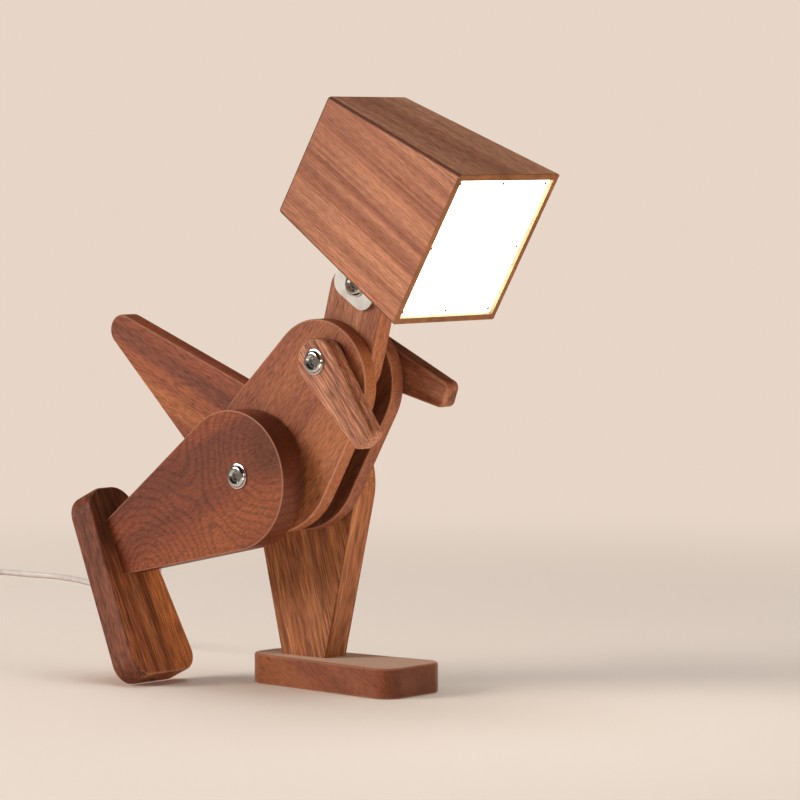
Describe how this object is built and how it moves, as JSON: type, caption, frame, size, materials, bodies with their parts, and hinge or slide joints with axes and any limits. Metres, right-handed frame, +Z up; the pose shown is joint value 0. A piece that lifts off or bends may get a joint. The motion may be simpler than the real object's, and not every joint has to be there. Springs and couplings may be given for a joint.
{
  "type": "dinosaur desk lamp",
  "caption": "Walnut desk lamp shaped as a walking dinosaur, with a lit opal panel in its box head and bolted neck, arms, tail and legs that pose by friction.",
  "frame": {"origin": "on the floor, at the middle of the lamp's length and width, with the free cord left out", "axes": "+X forward, where the head looks; +Y to the lamp's left; +Z up"},
  "size_m": [0.746, 0.3597, 0.3122],
  "materials": {
    "walnut": "oiled, open grain",
    "chrome_hardware": "polished",
    "plain_steel": "bright",
    "black_fibre": "matt",
    "opal_acrylic": "satin",
    "white_plastic": "matt",
    "white_pvc": "satin",
    "light_board": "satin",
    "emitter_yellow": "satin",
    "circuit_green": "satin",
    "chip_black": "matt",
    "foam_black": "matt",
    "copper_foil": "bright",
    "tie_fabric": "matt"
  },
  "bodies": {
    "torso": {"left_plate": "walnut", "right_plate": "walnut", "hip_bolt": "chrome_hardware", "hip_nut": "chrome_hardware", "shoulder_bolt": "chrome_hardware", "shoulder_nut": "chrome_hardware", "outer_washers": "black_fibre", "inner_washers": "black_fibre", "cord_boot": "white_pvc", "body_lead": "white_pvc", "cord": "white_pvc", "cord_coil": "white_pvc", "coil_tie": "tie_fabric", "plug_grip": "white_pvc", "plug_shell": "plain_steel", "plug_tongue": "white_plastic"},
    "neck": {"neck": "walnut", "neck_lead": "white_pvc"},
    "head": {"head_top": "walnut", "head_bottom": "walnut", "head_left": "walnut", "head_right": "walnut", "head_back": "walnut", "diffuser": "opal_acrylic", "diffuser_ledge": "white_plastic", "diffuser_brads": "plain_steel", "led_board": "light_board", "led_emitters": "emitter_yellow", "led_spacers": "black_fibre", "led_screws": "plain_steel", "driver_pad": "foam_black", "driver_board": "circuit_green", "driver_parts": "chip_black", "touch_plate": "copper_foil", "head_lead": "white_pvc", "tilt_bracket": "plain_steel", "bracket_screws": "plain_steel", "tilt_bolt": "chrome_hardware", "tilt_nut": "chrome_hardware", "tilt_washers": "black_fibre"},
    "left_arm": {"left_arm": "walnut"},
    "right_arm": {"right_arm": "walnut"},
    "tail": {"tail": "walnut"},
    "left_leg": {"left_thigh": "walnut", "left_foot": "walnut", "left_foot_screws": "plain_steel"},
    "right_leg": {"right_thigh": "walnut", "right_foot": "walnut", "right_foot_screws": "plain_steel"}
  },
  "joints": [
    {"name": "neck_swing", "type": "hinge", "parent": "torso", "child": "neck", "pos_m": [0.03022, 0, 0.17589], "axis": [0, 1, 0], "range_deg": [-30, 25]},
    {"name": "head_tilt", "type": "hinge", "parent": "neck", "child": "head", "pos_m": [0.0409, 0, 0.21547], "axis": [0, 1, 0], "range_deg": [-45, 15]},
    {"name": "left_arm_swing", "type": "hinge", "parent": "torso", "child": "left_arm", "pos_m": [0.03022, 0, 0.17589], "axis": [0, 1, 0], "range_deg": [-35, 60]},
    {"name": "right_arm_swing", "type": "hinge", "parent": "torso", "child": "right_arm", "pos_m": [0.03022, 0, 0.17589], "axis": [0, 1, 0], "range_deg": [-65, 35]},
    {"name": "tail_swing", "type": "hinge", "parent": "torso", "child": "tail", "pos_m": [-0.0176, 0, 0.1149], "axis": [0, 1, 0], "range_deg": [-30, 25]},
    {"name": "left_leg_swing", "type": "hinge", "parent": "torso", "child": "left_leg", "pos_m": [-0.0176, 0, 0.1149], "axis": [0, 1, 0], "range_deg": [-55, 35]},
    {"name": "right_leg_swing", "type": "hinge", "parent": "torso", "child": "right_leg", "pos_m": [-0.0176, 0, 0.1149], "axis": [0, 1, 0], "range_deg": [-100, 20]}
  ]
}
